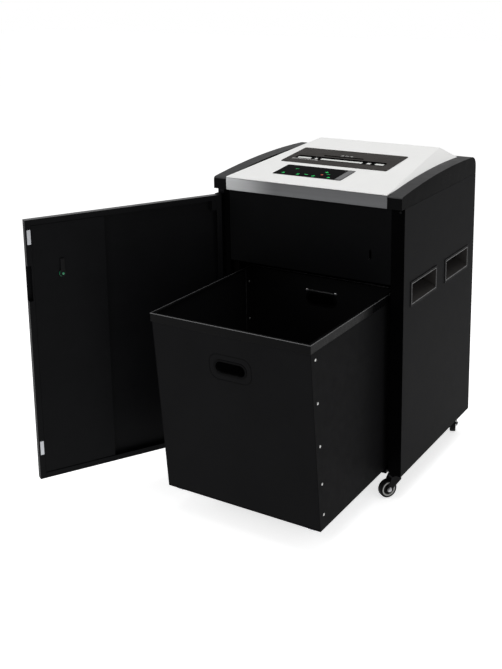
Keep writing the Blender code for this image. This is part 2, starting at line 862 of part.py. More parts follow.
def cutter_drive():
    """Two geared cutter shafts between bearing plates, a reduction gear and the motor."""
    front_y = CUTTER_Y - SHAFT_SPACING / 2
    rear_y = CUTTER_Y + SHAFT_SPACING / 2
    idler_y = rear_y + DRIVE_MODULE * (DRIVE_TEETH + IDLER_TEETH) / 2
    motor_y = idler_y + DRIVE_MODULE * (IDLER_TEETH + PINION_TEETH) / 2
    gear_start = GEAR_X - GEAR_WIDTH / 2
    right_gear = PLATE_RIGHT_X + BEARING_PLATE + 0.006 + GEAR_WIDTH / 2
    right_end = right_gear + GEAR_WIDTH / 2 + 0.001
    rear_first = FIRST_DISC + DISC_PITCH / 2
    cutter_shaft("cutter_shaft_front", front_y, FIRST_DISC, PLATE_LEFT_X - 0.002, right_end)
    cutter_shaft("cutter_shaft_rear", rear_y, rear_first, gear_start - 0.001, right_end)
    module = SHAFT_SPACING / CUTTER_TEETH
    bore = NECK_RADIUS + 0.0006
    for name, y, phase in (
        ("cutter_gear_front", front_y, 0.0),
        ("cutter_gear_rear", rear_y, math.pi / CUTTER_TEETH),
    ):
        gear(name, CUTTER_TEETH, module, phase, (right_gear, y, CUTTER_Z), bore)
    gear("drive_gear", DRIVE_TEETH, DRIVE_MODULE, 0.0, (GEAR_X, rear_y, CUTTER_Z), bore)
    stub_radius = 0.007
    idler_phase = math.pi / IDLER_TEETH
    centre = (GEAR_X, idler_y, CUTTER_Z)
    bore = stub_radius + 0.0005
    gear("reduction_gear", IDLER_TEETH, DRIVE_MODULE, idler_phase, centre, bore)
    bearing_plates(front_y, rear_y, idler_y, motor_y, stub_radius)
    motor(motor_y)


def bearing_plates(front_y, rear_y, idler_y, motor_y, stub_radius):
    """Plates that hold both cutter shafts; the left one also carries idler stub and motor."""
    low_z = CHASSIS_LEVEL + 0.002 + GAP
    high_z = CUTTER_Z + 0.042
    front = CUTTER_Y - 0.050
    hole = NECK_RADIUS + 0.0015
    for side, x, back in (
        ("left", PLATE_LEFT_X, motor_y + 0.055),
        ("right", PLATE_RIGHT_X, CUTTER_Y + 0.050),
    ):
        low = (x, front, low_z)
        high = (x + BEARING_PLATE, back, high_z)
        plate = block("cutter_plate_" + side, low, high, "cast_grey")
        for place, y in (("front", front_y), ("rear", rear_y)):
            centre = (x, y, CUTTER_Z)
            cut(plate, cylinder(f"bearing_{side}_{place}", centre, hole, 0.02, "x"))
        if side == "left":
            cut(plate, cylinder("motor_boss_hole", (x, motor_y, CUTTER_Z), 0.010, 0.02, "x"))
            stub_end = GEAR_X - GEAR_WIDTH / 2 - 0.001
            centre = ((stub_end + x + 0.002) / 2, idler_y, CUTTER_Z)
            length = x + 0.002 - stub_end
            join(plate, cylinder("idler_stub", centre, stub_radius, length, "x"))


def motor(motor_y):
    """Motor lying along X behind the cutters, on a foot, with the pinion on its shaft."""
    start = PLATE_LEFT_X + BEARING_PLATE + GAP
    end = start + MOTOR_LENGTH
    bell = 0.018
    step = 0.004
    profile = [
        (0, end),
        (MOTOR_RADIUS - 0.012, end),
        (MOTOR_RADIUS - step, end - 0.010),
        (MOTOR_RADIUS - step, end - bell),
        (MOTOR_RADIUS, end - bell),
        (MOTOR_RADIUS, start + bell),
        (MOTOR_RADIUS - step, start + bell),
        (MOTOR_RADIUS - step, start),
        (0, start),
    ]
    body = turned("motor", profile, (0, motor_y, CUTTER_Z), "x", "cast_grey", steps=24)
    foot = block(
        "motor_foot",
        (start + 0.030, motor_y - 0.038, CHASSIS_LEVEL + 0.002 + GAP),
        (end - 0.030, motor_y + 0.038, CUTTER_Z - 0.030),
    )
    bore = cylinder("motor_bore", (start, motor_y, CUTTER_Z), 0.0075, 0.040, "x")
    join(body, foot)
    cut(body, bore)
    pinion_centre = (GEAR_X, motor_y, CUTTER_Z)
    rings = [gear_outline(PINION_TEETH, DRIVE_MODULE, math.pi / PINION_TEETH)]
    pinion = flat_solid("motor_pinion", rings, GEAR_WIDTH, pinion_centre, "x", "steel")
    shaft_end = start + 0.016
    centre = ((GEAR_X + shaft_end) / 2, motor_y, CUTTER_Z)
    join(pinion, cylinder("pinion_shaft", centre, 0.006, shaft_end - GEAR_X, "x"))


# Door, drawn from its hinge axis: X along the door, Y towards the cabinet when closed


def door():
    """Steel pan door with a folded rim, a stiffener on its free side, lock, cam and strikes."""
    start = DOOR_INSET - HINGE_X
    end = WIDTH - DOOR_INSET - HINGE_X
    half = DOOR_THICK / 2
    shell = block(
        "door_shell", (start, -half, DOOR_BOTTOM), (end, half, DOOR_TOP), "powder_black", DOOR
    )
    skin = DOOR_SKIN
    hollow = block(
        "door_hollow",
        (start + skin, -half + skin, DOOR_BOTTOM + skin),
        (end - skin, half - skin, DOOR_TOP - skin),
        parent=DOOR,
    )
    window = block(
        "door_window",
        (start + DOOR_LIP, 0, DOOR_BOTTOM + DOOR_LIP),
        (end - DOOR_LIP, half + 0.01, DOOR_TOP - DOOR_LIP),
        parent=DOOR,
    )
    pull = block("pull_notch", (end - 0.011, -0.004, 0.496), (end + 0.01, 0.02, 0.590), parent=DOOR)
    cut(shell, hollow, window, pull)
    lock_hole = cylinder(
        "lock_hole", (LOCK_ALONG, 0, LOCK_HEIGHT), LOCK_RADIUS + 0.0006, 0.05, "y", parent=DOOR
    )
    cut(shell, lock_hole)
    pin_hole = cylinder(
        "pin_hole", (0, 0, PANEL_HEIGHT / 2), PIN_RADIUS + 0.0006, 0.9, "z", parent=DOOR, sides=12
    )
    cut(shell, pin_hole)
    inner = half - skin - 0.0010
    edge = end - DOOR_LIP - 0.001
    path = [
        (STIFFENER_START, -inner),
        (STIFFENER_START, inner),
        (edge, inner),
        (edge, -inner),
    ]
    span = (DOOR_BOTTOM + DOOR_LIP + 0.001, DOOR_TOP - DOOR_LIP - 0.001)
    stiffener = folded_sheet("door_stiffener", path, span, "z", "powder_black", DOOR, skin)
    cut(stiffener, lock_hole)
    hinge_blocks(start, half, pin_hole)
    lock(half)
    for place, z in STRIKES.items():
        low = (end - 0.0135, half + 0.0002, z - 0.019)
        high = (end - 0.0040, half + 0.0010, z + 0.019)
        block("strike_" + place, low, high, "steel", DOOR)


def hinge_blocks(start, half, pin_hole):
    """Blocks inside the door's hinge corners, bored for the pins."""
    depth = half - DOOR_SKIN - GAP
    near = start + DOOR_SKIN + GAP
    rows = {
        "upper": (DOOR_TOP - DOOR_SKIN - GAP - 0.042, DOOR_TOP - DOOR_SKIN - GAP),
        "lower": (DOOR_BOTTOM + DOOR_SKIN + GAP, DOOR_BOTTOM + DOOR_SKIN + GAP + 0.042),
    }
    for place, (low, high) in rows.items():
        corners = (near, -depth, low), (near + 0.028, depth, high)
        piece = block("hinge_block_" + place, *corners, "powder_black", DOOR)
        cut(piece, pin_hole)


def lock(half):
    """Cam lock through the door: barrel with a front flange, and the cam on its inner end."""
    inner_end = half + 0.0008
    outer = -half - 0.0035
    profile = [
        (0, inner_end + 0.0042),
        (0.0030, inner_end + 0.0042),
        (0.0030, inner_end),
        (LOCK_RADIUS, inner_end),
        (LOCK_RADIUS, -half - GAP),
        (0.0125, -half - GAP),
        (0.0115, outer),
        (0, outer),
    ]
    # The lathe's height runs towards -Y when lying along Y, so the profile is reversed end to end.
    flipped = [(radius, -height) for radius, height in reversed(profile)]
    turned("lock_body", flipped, (LOCK_ALONG, 0, LOCK_HEIGHT), "y", "green_nut", DOOR, steps=20)
    cam_pivot = new_empty("lock_cam_axis", (LOCK_ALONG, inner_end + 0.0015, LOCK_HEIGHT), DOOR)
    reach = 0.040
    outline = arc((0, 0), 0.0085, 160, 380, 8)
    outline += [(0.0055, 0.012), (0.0055, reach), (-0.0055, reach), (-0.0055, 0.012)]
    rings = [outline, circle(0.0034, 12)]
    flat_solid("lock_cam", rings, 0.0020, (0, 0, 0), "y", "black_plastic", cam_pivot)


# Bin, drawn pushed home


def bin_parts():
    """Sheet bin: one piece for sides and bottom, flanged front and back between them, and a rim."""
    half = BIN_SHEET / 2
    left, right = BIN_LEFT + half, BIN_RIGHT - half
    path = [(left, BIN_TOP), (left, half), (right, half), (right, BIN_TOP)]
    span = (BIN_FRONT, BIN_BACK)
    wrap = folded_sheet("bin_wrap", path, span, "y", "bin_black", BIN, BIN_SHEET)
    rake = math.atan2(BIN_RAKE, BIN_TOP)
    foot = Vector((WIDTH / 2, BIN_FRONT + BIN_RAKE, 0))
    size = 1.0
    slab = block("rake_cutter", (0, 0, 0), (size, size, size), parent=BIN, turn=(rake, 0, 0))
    slab.location = foot + Vector((0, -math.cos(rake), -math.sin(rake))) * size / 2
    cut(wrap, slab)
    inset = BIN_SHEET + GAP + half
    x0, x1 = BIN_LEFT + inset, BIN_RIGHT - inset
    length = math.hypot(BIN_RAKE, BIN_TOP)
    half_x, half_z = HAND_HOLE[0] / 2, HAND_HOLE[1] / 2
    ring = rounded(-half_x, -half_z, half_x, half_z, 0.995 * half_z)
    path = [(x0, BIN_FLANGE), (x0, half), (x1, half), (x1, BIN_FLANGE)]
    front_lean = new_empty("bin_front_lean", (0, BIN_FRONT + BIN_RAKE, 0), BIN)
    front_lean.rotation_euler = (rake, 0, 0)
    span = (BIN_SHEET + 0.0030, length - BIN_FLANGE * math.sin(rake) - 0.0004)
    front = folded_sheet("bin_front", path, span, "z", "bin_black", front_lean, BIN_SHEET)
    hole = (WIDTH / 2, 0, (BIN_TOP - FRONT_HOLE_DROP) / math.cos(rake))
    cut(front, flat_solid("front_hand_hole", [ring], 0.03, hole, "y", parent=front_lean))
    rear = BIN_BACK - half
    edge = BIN_BACK - BIN_FLANGE
    path = [(x0, edge), (x0, rear), (x1, rear), (x1, edge)]
    span = (BIN_SHEET + 0.0006, BIN_TOP)
    back = folded_sheet("bin_back", path, span, "z", "bin_black", BIN, BIN_SHEET)
    hole = (WIDTH / 2, BIN_BACK, BIN_TOP - BACK_HOLE_DROP)
    cut(back, flat_solid("back_hand_hole", [ring], 0.03, hole, "y", parent=BIN))
    bin_rim()


def bin_rim():
    """Folded band round the top of the bin, with a lip that turns in over the walls."""
    out = 0.0018
    top = BIN_TOP + 0.0018
    rim = block(
        "bin_rim",
        (BIN_LEFT - out, BIN_FRONT - out, top - RIM_DEPTH),
        (BIN_RIGHT + out, BIN_BACK + out, top),
        "bin_black",
        BIN,
    )
    seat = block(
        "rim_seat",
        (BIN_LEFT - GAP, BIN_FRONT - GAP, top - RIM_DEPTH - 0.01),
        (BIN_RIGHT + GAP, BIN_BACK + GAP, BIN_TOP + GAP),
        parent=BIN,
    )
    mouth = block(
        "rim_mouth",
        (BIN_LEFT + RIM_LIP, BIN_FRONT + RIM_LIP, top - 0.05),
        (BIN_RIGHT - RIM_LIP, BIN_BACK - RIM_LIP, top + 0.05),
        parent=BIN,
    )
    cut(rim, seat, mouth)


# Casters


def caster(place, x, y, yaw):
    """Stem caster: a fork that swivels on its stem and a wheel that turns on the fork's axle."""
    swivel = new_empty("swivel_axis_" + place, (x, y, 0), ROOT, math.radians(yaw))
    axle_z = -CASTER_HEIGHT + WHEEL_RADIUS
    fork = cylinder(
        "caster_fork_" + place, (0, 0, -0.0061), 0.0135, 0.0128, "z", "black_plastic", swivel, 16
    )
    stem = cylinder("stem_" + place, (0, 0, 0.003), 0.0039, 0.020, "z", parent=swivel, sides=12)
    arm_inner, arm_thick = 0.0098, 0.0022
    reach = arm_inner + arm_thick
    bridge = block(
        "bridge_" + place, (-reach, -0.016, -0.0190), (reach, 0.012, -0.0118), parent=swivel
    )
    axle = cylinder(
        "axle_" + place, (0, -CASTER_TRAIL, axle_z), 0.0035, 2 * reach + 0.003, "x", parent=swivel
    )
    join(fork, stem, bridge)
    outline = [(0.012, -0.0130), (-0.016, -0.0130)]
    outline += arc((-CASTER_TRAIL, axle_z), 0.0080, 150, 350, 8)
    outline.append((0.012, -0.0240))
    for number, sign in enumerate((-1, 1)):
        centre = (sign * (arm_inner + arm_thick / 2), 0, 0)
        arm = flat_solid(f"arm_{place}_{number}", [outline], arm_thick, centre, "x", parent=swivel)
        join(fork, arm)
    join(fork, axle)
    wheel_axis = new_empty("wheel_axis_" + place, (0, -CASTER_TRAIL, axle_z), swivel)
    half = WHEEL_WIDTH / 2
    bore = 0.0041
    profile = [
        (bore, half),
        (0.008, half),
        (0.016, half - 0.003),
        (0.0225, half),
        (WHEEL_RADIUS, half - 0.0035),
        (WHEEL_RADIUS, -half + 0.0035),
        (0.0225, -half),
        (0.016, -half + 0.003),
        (0.008, -half),
        (bore, -half),
    ]
    turned("caster_wheel_" + place, profile, (0, 0, 0), "x", "rubber", wheel_axis, 20, closed=True)


def rest_offset():
    """Where the cabinet frame goes so that the rest pose's box is centred over the origin."""
    free_end = WIDTH - DOOR_INSET - HINGE_X
    half = DOOR_THICK / 2
    low_x = HINGE_X + free_end * math.cos(DOOR_OPEN) - half * math.sin(DOOR_OPEN)
    low_y = HINGE_Y - free_end * math.sin(DOOR_OPEN) + half * math.cos(DOOR_OPEN)
    high_x = WIDTH + FLANGE_PROUD
    high_y = DEPTH + GAP + SHEET
    return (-(low_x + high_x) / 2, -(low_y + high_y) / 2, CASTER_HEIGHT)


clear_scene()
PARTS = new_collection("paper_shredder")
TOOLS = new_collection("cutters")
ROOT = new_empty("paper_shredder_origin", rest_offset())
DOOR = new_empty("door_hinge_axis", (HINGE_X, HINGE_Y, 0), ROOT, -DOOR_OPEN)
BIN = new_empty("bin_slide_origin", (0, -BIN_PULL, 0), ROOT)
MIDDLES = new_empty("slide_middle_origin", (0, -BIN_PULL / 2, 0), ROOT)
DECK_SLOPE = math.atan2(COVER_RIDGE[1] - COVER_START[1], COVER_RIDGE[0] - COVER_START[0])
DECK = new_empty("deck_plane", (0, COVER_START[0], PANEL_HEIGHT + COVER_START[1]), ROOT)
DECK.rotation_euler = (DECK_SLOPE, 0, 0)
STRIKES = {"upper": 0.665, "lower": 0.090}

side_panel("left")
magnet_catches(side_panel("right"))
for cabinet_side in ("left", "right"):
    for cup_y, cup_place in zip(HANDLE_Y, ("front", "rear")):
        handle_cup(cabinet_side, cup_y, cup_place)
    slides(cabinet_side)
    end_cap(cabinet_side)
back_panel()
power_inlet()
base_pan()
front_skirt()
chassis_plate()
hinge_brackets()
rear_bar()
top_cover()
front_strip()
entry_plate()
control_panel()
throat_guide()
cutter_drive()
door()
bin_parts()
for caster_place, (caster_x, caster_y, caster_yaw) in CASTERS.items():
    caster(caster_place, caster_x, caster_y, caster_yaw)
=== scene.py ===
"""Looks of the paper shredder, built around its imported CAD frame.

Places are given in the cabinet frame: X runs right from the left side panel, Y back from the front
edge of the side panels and Z up from their bottom edge. at() turns such a place into the row frame.
"""

import math

import bmesh
import bpy
from mathutils import Matrix, Quaternion, Vector


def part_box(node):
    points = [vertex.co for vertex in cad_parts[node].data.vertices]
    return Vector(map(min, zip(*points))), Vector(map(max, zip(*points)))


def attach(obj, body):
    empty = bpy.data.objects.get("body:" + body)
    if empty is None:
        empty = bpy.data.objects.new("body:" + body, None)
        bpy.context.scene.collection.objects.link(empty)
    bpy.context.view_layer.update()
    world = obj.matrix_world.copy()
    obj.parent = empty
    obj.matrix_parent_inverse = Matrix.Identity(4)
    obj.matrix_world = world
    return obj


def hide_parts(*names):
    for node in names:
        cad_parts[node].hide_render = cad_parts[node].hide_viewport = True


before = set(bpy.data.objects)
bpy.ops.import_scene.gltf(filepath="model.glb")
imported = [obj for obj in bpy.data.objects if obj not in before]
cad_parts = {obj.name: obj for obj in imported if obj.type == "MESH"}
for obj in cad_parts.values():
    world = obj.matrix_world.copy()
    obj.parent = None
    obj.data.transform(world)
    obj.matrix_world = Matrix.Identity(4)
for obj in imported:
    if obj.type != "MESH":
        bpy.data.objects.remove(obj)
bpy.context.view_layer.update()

LEFT_LOW, LEFT_HIGH = (Vector(corner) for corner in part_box("side_panel_left"))
ORIGIN = LEFT_LOW
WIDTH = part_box("side_panel_right")[1][0] - LEFT_LOW.x
DEPTH = LEFT_HIGH.y - LEFT_LOW.y
PANEL_TOP = LEFT_HIGH.z - LEFT_LOW.z

# Camera, found by fitting the cabinet's edges
CAMERA_PLACE = (1.562, -2.303, 1.334)
CAMERA_AZIMUTH = math.radians(32.27)
CAMERA_PITCH = math.radians(12.36)
CAMERA_ROLL = math.radians(-0.92)
CAMERA_LENS = 55.3
CAMERA_SHIFT = -0.22

# Studio: each light's name, place, size and power
WORLD_LIGHT = 0.34
FLOOR_GLOW = 0.70
LIGHTS = (
    ("key_light", (-2.5, -2.7, 1.7), 1.6, 42),
    ("fill_light", (3.0, -1.2, 2.2), 2.2, 7),
    ("top_light", (0.2, 0.3, 3.2), 2.5, 50),
)

# Cabinet, with the least rise of a normal that counts as facing up
UPWARD = 0.55
POST_RETURN = 0.0185
BACK_PROUD = 0.0018
BACK_SCREW_INSET = 0.013
BACK_SCREW_HEIGHTS = (0.030, 0.190, 0.350, 0.510, 0.670)
BACK_SCREW_TOP_ROW = (0.150, 0.280, 0.410)
CUP_FLANGE_Y = 0.0068
CUP_FLANGE_Z = 0.0058
CUP_LIP = 0.0016

# Bin at rest: how far its front leans out, and sizes measured down from its top edge
BIN_RAKE = 0.048
BIN_WALL_TOP = 0.4872
BIN_SHEET = 0.0012
SHEET_GAP = 0.0003
RIVET_DROPS = (0.041, 0.152, 0.264, 0.365, 0.448)
RIVET_INSET = 0.020
HAND_HOLE_DROPS = {"bin_front": 0.105, "bin_back": 0.0645}
HAND_HOLE_HALF = (0.044, 0.017)
GRIP_STRIP_RISE = 0.0225

# Head: slots as low x, low y, high x, high y, and spans of x across the paper slot
PLATE_THICK = 0.0012
PANEL_THICK = 0.0010
PAPER_SLOT = (0.1285, 0.2045, 0.4045, 0.2325)
DISC_SLOT = (0.2000, 0.2465, 0.3240, 0.2515)
LINER_SPANS = (
    (0.1325, 0.1740),
    (0.1875, 0.1940),
    (0.2065, 0.3345),
    (0.3495, 0.3605),
    (0.3745, 0.4005),
)
POST_SPANS = ((0.1750, 0.1870), (0.1945, 0.2060), (0.3350, 0.3490), (0.3610, 0.3740))

# Printing and lit symbols
PRINT_THICK = 0.00012
PRINT_LIFT = 0.00010
PANEL_SYMBOLS = (
    (0.173, 0.0620, "ring"),
    (0.193, 0.1060, "dots"),
    (0.219, 0.0610, "sheet"),
    (0.242, 0.0660, "bar"),
    (0.267, 0.0590, "sheet"),
    (0.287, 0.1010, "arrow"),
    (0.300, 0.0850, "dots"),
    (0.313, 0.0590, "ring"),
)
PANEL_SYMBOL_SCALE = 1.2
WARNING_PLACE = (0.285, 0.0763)
PANEL_END_WIDTH = 0.019
PLATE_SYMBOLS_Y = 0.262
TICK_COUNT = 16
TICK_START = 0.1250
TICK_PITCH = 0.0052
TICK_Y = 0.1998

# Casters: swivel place and turn
CASTERS = {
    "front_left": (0.030, 0.032, 25.0),
    "front_right": (WIDTH - 0.030, 0.032, -34.0),
    "rear_left": (0.030, 0.452, 160.0),
    "rear_right": (WIDTH - 0.030, 0.452, 200.5),
}
CASTER_TRAIL = 0.024
WHEEL_RADIUS = 0.025
WHEEL_WIDTH = 0.018
TREAD_RADIUS = 0.0042
FORK_OUTSIDE = 0.01335


def at(x, y, z):
    return ORIGIN + Vector((x, y, z))


# Materials. A colour Mix node takes its factor at input 0, its colours at 6 and 7, and gives output 2.


def new_material(name):
    material = bpy.data.materials.new(name)
    material.use_nodes = True
    tree = material.node_tree
    return material, tree, tree.nodes["Principled BSDF"]


def coordinates(tree, stretch):
    """Object coordinates scaled along each axis, so that a pattern can run one way."""
    place = tree.nodes.new("ShaderNodeTexCoord")
    mapping = tree.nodes.new("ShaderNodeMapping")
    mapping.inputs["Scale"].default_value = stretch
    tree.links.new(place.outputs["Object"], mapping.inputs["Vector"])
    return mapping.outputs["Vector"]


def noise(tree, vector, scale, detail=3.0, roughness=0.55):
    texture = tree.nodes.new("ShaderNodeTexNoise")
    texture.inputs["Scale"].default_value = scale
    texture.inputs["Detail"].default_value = detail
    texture.inputs["Roughness"].default_value = roughness
    tree.links.new(vector, texture.inputs["Vector"])
    return texture.outputs["Fac"]


def ranged(tree, value, low, high):
    """A noise's middle range spread between two values."""
    spread = tree.nodes.new("ShaderNodeMapRange")
    spread.inputs["From Min"].default_value = 0.3
    spread.inputs["From Max"].default_value = 0.7
    spread.inputs["To Min"].default_value = low
    spread.inputs["To Max"].default_value = high
    tree.links.new(value, spread.inputs["Value"])
    return spread.outputs["Result"]


def surface(
    name,
    colour,
    roughness,
    metallic=0.0,
    specular=0.5,
    grain=1200.0,
    relief=0.10,
    mottle=0.10,
    sheen_spread=0.06,
    stretch=(1, 1, 1),
):
    """A finish with colour mottle, uneven gloss and a fine relief, all from noise in object space."""
    material, tree, shader = new_material(name)
    vector = coordinates(tree, stretch)
    mix = tree.nodes.new("ShaderNodeMix")
    mix.data_type = "RGBA"
    darker = [channel * (1 - mottle) for channel in colour]
    lighter = [min(1.0, channel * (1 + mottle)) for channel in colour]
    mix.inputs[6].default_value = (*darker, 1)
    mix.inputs[7].default_value = (*lighter, 1)
    tree.links.new(ranged(tree, noise(tree, vector, 9.0), 0, 1), mix.inputs[0])
    tree.links.new(mix.outputs[2], shader.inputs["Base Color"])
    gloss = ranged(
        tree,
        noise(tree, vector, 40.0, 4.0),
        max(0.02, roughness - sheen_spread),
        min(1.0, roughness + sheen_spread),
    )
    tree.links.new(gloss, shader.inputs["Roughness"])
    bump = tree.nodes.new("ShaderNodeBump")
    bump.inputs["Strength"].default_value = relief
    bump.inputs["Distance"].default_value = 0.0004
    tree.links.new(noise(tree, vector, grain, 2.0), bump.inputs["Height"])
    tree.links.new(bump.outputs["Normal"], shader.inputs["Normal"])
    shader.inputs["Metallic"].default_value = metallic
    shader.inputs["Specular IOR Level"].default_value = specular
    return material


def painted_reflection_fade(material, colour, reach):
    """Paints a reflection: blends a surface from another colour at its low X end over a share of its
    length.
    """
    tree = material.node_tree
    shader = tree.nodes["Principled BSDF"]
    base = shader.inputs["Base Color"].links[0].from_socket
    place = tree.nodes.new("ShaderNodeTexCoord")
    split = tree.nodes.new("ShaderNodeSeparateXYZ")
    tree.links.new(place.outputs["Generated"], split.inputs["Vector"])
    fade = tree.nodes.new("ShaderNodeMapRange")
    fade.interpolation_type = "SMOOTHSTEP"
    fade.inputs["From Max"].default_value = reach
    fade.inputs["To Min"].default_value = 1.0
    fade.inputs["To Max"].default_value = 0.0
    tree.links.new(split.outputs["X"], fade.inputs["Value"])
    mix = tree.nodes.new("ShaderNodeMix")
    mix.data_type = "RGBA"
    mix.inputs[7].default_value = (*colour, 1)
    tree.links.new(fade.outputs["Result"], mix.inputs[0])
    tree.links.new(base, mix.inputs[6])
    tree.links.new(mix.outputs[2], shader.inputs["Base Color"])


def glow(name, colour, strength):
    material, tree, shader = new_material(name)
    shader.inputs["Base Color"].default_value = (*colour, 1)
    shader.inputs["Emission Color"].default_value = (*colour, 1)
    shader.inputs["Emission Strength"].default_value = strength
    speck = noise(tree, coordinates(tree, (1, 1, 1)), 900.0)
    tree.links.new(ranged(tree, speck, 0.25, 0.40), shader.inputs["Roughness"])
    return material


POWDER = surface(
    "powder_coat",
    (0.0115, 0.0116, 0.0121),
    0.42,
    specular=0.005,
    relief=0.22,
    grain=900,
    mottle=0.03,
    sheen_spread=0.02,
)
INNER_POWDER = surface(
    "inner_coat", (0.0024, 0.0025, 0.0028), 0.46, specular=0.025, relief=0.22, sheen_spread=0.03
)
POST_COAT = surface(
    "post_coat", (0.0007, 0.0007, 0.0008), 0.50, specular=0.008, relief=0.22, sheen_spread=0.03
)
DOOR_COAT = surface(
    "door_coat", (0.0042, 0.0043, 0.0048), 0.44, specular=0.04, relief=0.20, sheen_spread=0.03
)
BIN_COAT = surface(
    "bin_coat", (0.0070, 0.0070, 0.0074), 0.44, specular=0.007, relief=0.25, grain=800, mottle=0.05
)
RIM_COAT = surface("rim_coat", (0.0024, 0.0024, 0.0026), 0.28, specular=0.04, relief=0.12)
CAP_PLASTIC = surface(
    "cap_plastic", (0.0042, 0.0042, 0.0044), 0.32, specular=0.006, grain=2200, mottle=0.05
)
WHITE_PLASTIC = surface(
    "white_plastic", (0.83, 0.83, 0.82), 0.34, specular=0.4, grain=2400, relief=0.05, mottle=0.008
)
PLATE_PLASTIC = surface(
    "plate_plastic", (0.0180, 0.0148, 0.0122), 0.30, specular=0.10, grain=2000, relief=0.06
)
BLACK_PLASTIC = surface(
    "black_plastic", (0.0080, 0.0080, 0.0084), 0.42, specular=0.035, grain=1800
)
GLOSS_BLACK = surface("gloss_black", (0.0014, 0.0014, 0.0016), 0.12, specular=0.006, relief=0.01)
GREY_PLASTIC = surface("grey_plastic", (0.150, 0.150, 0.152), 0.38, specular=0.1, grain=2000)
GUIDE_WHITE = surface("guide_white", (0.70, 0.71, 0.69), 0.35, grain=1500, mottle=0.03)
BRUSHED = surface(
    "brushed_strip",
    (0.100, 0.101, 0.104),
    0.34,
    metallic=1.0,
    grain=260,
    relief=0.30,
    mottle=0.16,
    stretch=(0.03, 3.0, 3.0),
)
# Painted reflection: the strip's left end is lighter, standing for the light it reflects there.
painted_reflection_fade(BRUSHED, (0.42, 0.425, 0.43), 0.34)
STEEL = surface("machined_steel", (0.40, 0.40, 0.41), 0.30, metallic=1.0, grain=500, relief=0.12)
ZINC = surface("zinc_plate", (0.42, 0.43, 0.45), 0.36, metallic=1.0, grain=300, mottle=0.14)
RIVET = surface("rivet_head", (0.55, 0.55, 0.54), 0.34, metallic=0.5, grain=600, mottle=0.12)
CAST = surface("cast_paint", (0.08, 0.085, 0.09), 0.55, grain=420, relief=0.5)
TYRE = surface("tyre_black", (0.0045, 0.0045, 0.0050), 0.45, specular=0.06, grain=700, relief=0.2)
HUB_GREY = surface("hub_grey", (0.30, 0.30, 0.295), 0.35, specular=0.4, grain=900)
GREEN = surface("green_nut", (0.010, 0.20, 0.085), 0.32, grain=1200, mottle=0.08)
GRIP_BLACK = surface(
    "grip_black", (0.0022, 0.0022, 0.0024), 0.40, specular=0.02, grain=1800, relief=0.2
)
CUP_INNER = surface(
    "cup_inner", (0.024, 0.0225, 0.0215), 0.42, specular=0.05, grain=1400, mottle=0.15
)
# Painted top light: a lighter copy of the cap plastic for the upward faces of the end caps and rear
# bar.
CAP_TOP_PAINTED_LIGHT = surface(
    "cap_top_painted_light", (0.038, 0.038, 0.039), 0.36, specular=0.10, grain=2200, mottle=0.04
)
# Painted highlight: a lighter coat on edges, lips and beads, standing for the light they catch.
EDGE_HIGHLIGHT = surface(
    "painted_edge_highlight", (0.092, 0.092, 0.094), 0.30, specular=0.3, grain=1500, mottle=0.12
)
LED_GREEN = glow("led_green", (0.004, 0.42, 0.085), 1.0)
LED_ORANGE = glow("led_orange", (0.50, 0.075, 0.030), 0.8)
PRINT_WHITE = surface("print_white", (0.70, 0.70, 0.69), 0.45, grain=1500)


# Mesh helpers


def finish_mesh(name, bm, material, body, bevel=0.0, segments=2, smooth=35.0):
    """Turns a bmesh, already in the row frame, into a piece that rides on a body."""
    bmesh.ops.remove_doubles(bm, verts=bm.verts, dist=1e-6)
    bmesh.ops.recalc_face_normals(bm, faces=bm.faces)
    for face in bm.faces:
        face.smooth = True
    for edge in bm.edges:
        if len(edge.link_faces) == 2:
            edge.smooth = edge.calc_face_angle() < math.radians(smooth)
    mesh = bpy.data.meshes.new(name)
    bm.to_mesh(mesh)
    bm.free()
    mesh.materials.append(material)
    piece = bpy.data.objects.new(name, mesh)
    bpy.context.scene.collection.objects.link(piece)
    if bevel:
        add_bevel(piece, bevel, segments)
    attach(piece, body)
    return piece


def add_bevel(obj, width, segments=2, angle=35.0):
    bevel = obj.modifiers.new("edges", "BEVEL")
    bevel.width = width
    bevel.segments = segments
    bevel.limit_method = "ANGLE"
    bevel.angle_limit = math.radians(angle)
    bevel.harden_normals = True
    weighted = obj.modifiers.new("normals", "WEIGHTED_NORMAL")
    weighted.keep_sharp = True


def dress(node, material, bevel=0.0004, segments=2, angle=35.0):
    """Gives a CAD node its material, soft edges and smooth shading."""
    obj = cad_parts[node]
    obj.data.materials.clear()
    obj.data.materials.append(material)
    for face in obj.data.polygons:
        face.use_smooth = True
        face.material_index = 0
    weld = obj.modifiers.new("weld", "WELD")
    weld.merge_threshold = 0.00001
    add_bevel(obj, bevel, segments, angle)


def box(bm, low, high, matrix=None):
    """A block between two corners, put in place by a matrix."""
    low, high = Vector(low), Vector(high)
    made = bmesh.ops.create_cube(bm, size=1.0)["verts"]
    bmesh.ops.scale(bm, vec=high - low, verts=made)
    bmesh.ops.translate(bm, vec=(low + high) / 2, verts=made)
    if matrix:
        bmesh.ops.transform(bm, matrix=matrix, verts=made)


def lathe(bm, profile, matrix, steps):
    """Spins (radius, height) points about the local Z axis."""
    verts = [bm.verts.new((radius, 0, height)) for radius, height in profile]
    edges = [bm.edges.new(pair) for pair in zip(verts, verts[1:])]
    before = set(bm.verts)
    bmesh.ops.spin(
        bm,
        geom=verts + edges,
        axis=(0, 0, 1),
        cent=(0, 0, 0),
        steps=steps,
        angle=2 * math.pi,
    )
    made = [vert for vert in bm.verts if vert not in before] + verts
    bmesh.ops.transform(bm, matrix=matrix, verts=made)


def closed_profile(half):
    """A closed (radius, height) profile from the half above the middle plane."""
    points = half + [(radius, -height) for radius, height in reversed(half)]
    return points + points[:1]


def arc(centre, radius, start, end, steps):
    """Points along an arc, with its angles in degrees."""
    angles = [math.radians(start + (end - start) * i / steps) for i in range(steps + 1)]
    return [(centre[0] + radius * math.cos(a), centre[1] + radius * math.sin(a)) for a in angles]


